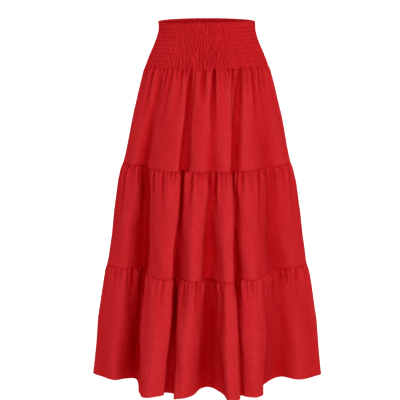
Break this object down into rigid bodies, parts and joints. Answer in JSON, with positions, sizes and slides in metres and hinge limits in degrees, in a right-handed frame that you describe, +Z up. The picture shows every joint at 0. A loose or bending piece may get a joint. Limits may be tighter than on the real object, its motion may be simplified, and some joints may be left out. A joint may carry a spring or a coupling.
{
  "type": "maxi skirt",
  "caption": "Tiered maxi skirt with a shirred elastic waistband, gathered tiers and a wide hem, hollow and open at waist and hem.",
  "frame": {"origin": "centre of the waist ring, 15 mm below the waistband's top edge, where the skirt is held on the waist", "axes": "+Z up along the body, the skirt's front faces -Y, the wearer's left is +X"},
  "size_m": [0.5836, 0.3882, 0.9144],
  "materials": {
    "shirred_cloth": "matte",
    "cloth": "matte"
  },
  "bodies": {
    "root": {"waistband_front": "shirred_cloth", "waistband_back": "shirred_cloth", "upper_tier_front": "cloth", "upper_tier_back": "cloth", "middle_tier_front": "cloth", "middle_tier_back": "cloth", "lower_tier_front": "cloth", "lower_tier_back": "cloth"}
  },
  "joints": []
}
